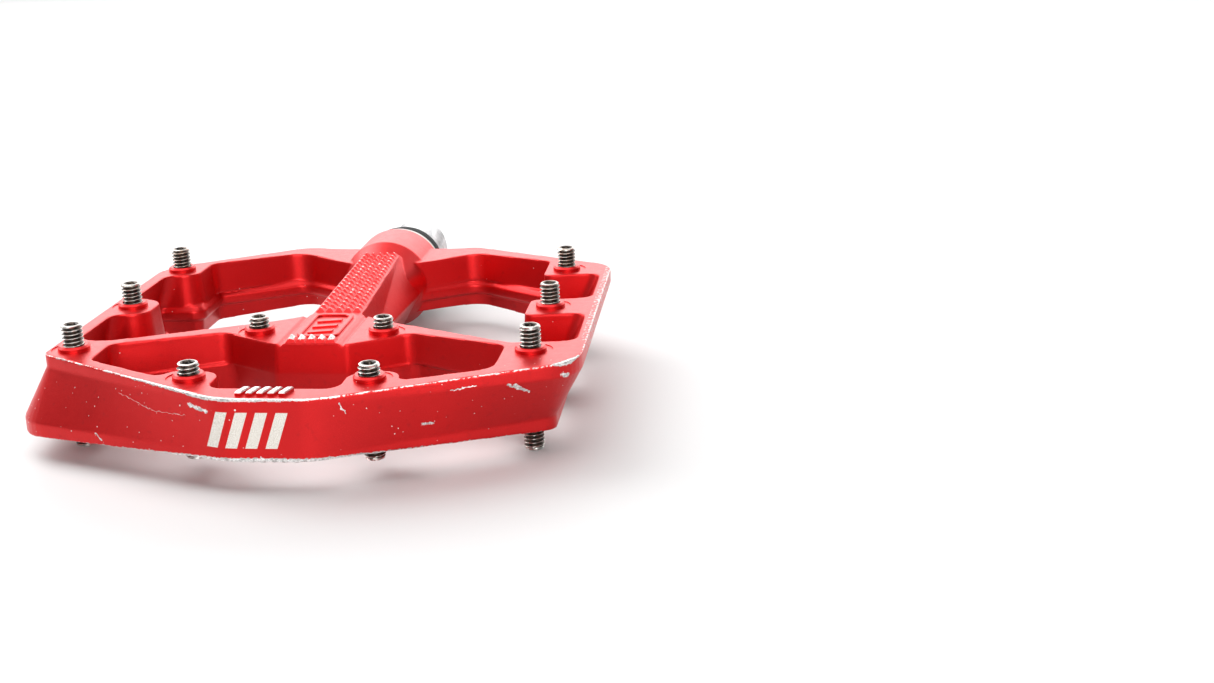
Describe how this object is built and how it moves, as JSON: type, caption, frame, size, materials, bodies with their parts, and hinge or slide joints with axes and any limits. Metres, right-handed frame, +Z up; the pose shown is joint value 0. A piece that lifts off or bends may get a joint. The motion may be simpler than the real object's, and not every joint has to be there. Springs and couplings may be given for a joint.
{
  "type": "bicycle flat pedal",
  "caption": "Right-hand flat pedal: dished open-frame alloy platform with threaded traction pins on both faces, spinning on a steel spindle with bearings and a crank thread.",
  "frame": {"origin": "on the spindle axis, at the shoulder that seats against the crank arm", "axes": "+Y along the spindle axis towards the crank, +Z up from the platform's face, +X forward in the riding direction"},
  "size_m": [0.1066, 0.1338, 0.024],
  "materials": {
    "anodised_red": "bead-blasted and anodised, worn to bare metal along the outer edges",
    "pin_steel": "dark steel, polished and browned on the thread crests",
    "spindle_steel": "turned and satin",
    "bearing_steel": "ground and polished",
    "collar_alloy": "satin, undyed",
    "seal_rubber": "matt",
    "bearing_polymer": "moulded, self-lubricating"
  },
  "bodies": {
    "spindle": {"spindle": "spindle_steel", "crank_bearing_inner_race": "bearing_steel", "spindle_retaining_ring": "spindle_steel", "tip_bearing_inner_race": "bearing_steel", "tip_washer": "bearing_steel", "tip_bolt": "bearing_steel"},
    "crank_ball_set": {"crank_bearing_balls": "bearing_steel", "crank_bearing_cage": "bearing_polymer"},
    "tip_ball_set": {"tip_bearing_balls": "bearing_steel", "tip_bearing_cage": "bearing_polymer"},
    "platform": {"platform_body": "anodised_red", "glide_bushing": "bearing_polymer", "crank_bearing_outer_race": "bearing_steel", "crank_bearing_shields": "seal_rubber", "tip_bearing_outer_race": "bearing_steel", "tip_bearing_shields": "seal_rubber", "lock_collar": "collar_alloy", "collar_o_ring": "seal_rubber", "crank_seal": "seal_rubber", "leading_pins_upper": "pin_steel", "leading_pins_lower": "pin_steel", "trailing_pins_upper": "pin_steel", "trailing_pins_lower": "pin_steel", "bridge_pins_upper": "pin_steel", "bridge_pins_lower": "pin_steel", "outboard_pins_upper": "pin_steel", "outboard_pins_lower": "pin_steel"}
  },
  "joints": [
    {"name": "platform_spin", "type": "hinge", "parent": "spindle", "child": "platform", "pos_m": [0, -0.066, 0], "axis": [0, 1, 0], "continuous": true},
    {"name": "crank_balls_roll", "type": "hinge", "parent": "spindle", "child": "crank_ball_set", "pos_m": [0, -0.021, 0], "axis": [0, 1, 0], "continuous": true},
    {"name": "tip_balls_roll", "type": "hinge", "parent": "spindle", "child": "tip_ball_set", "pos_m": [0, -0.077, 0], "axis": [0, 1, 0], "continuous": true}
  ],
  "couplings": [
    {"joint": "crank_balls_roll", "follows": "platform_spin", "ratio": 0.56},
    {"joint": "tip_balls_roll", "follows": "platform_spin", "ratio": 0.6}
  ]
}
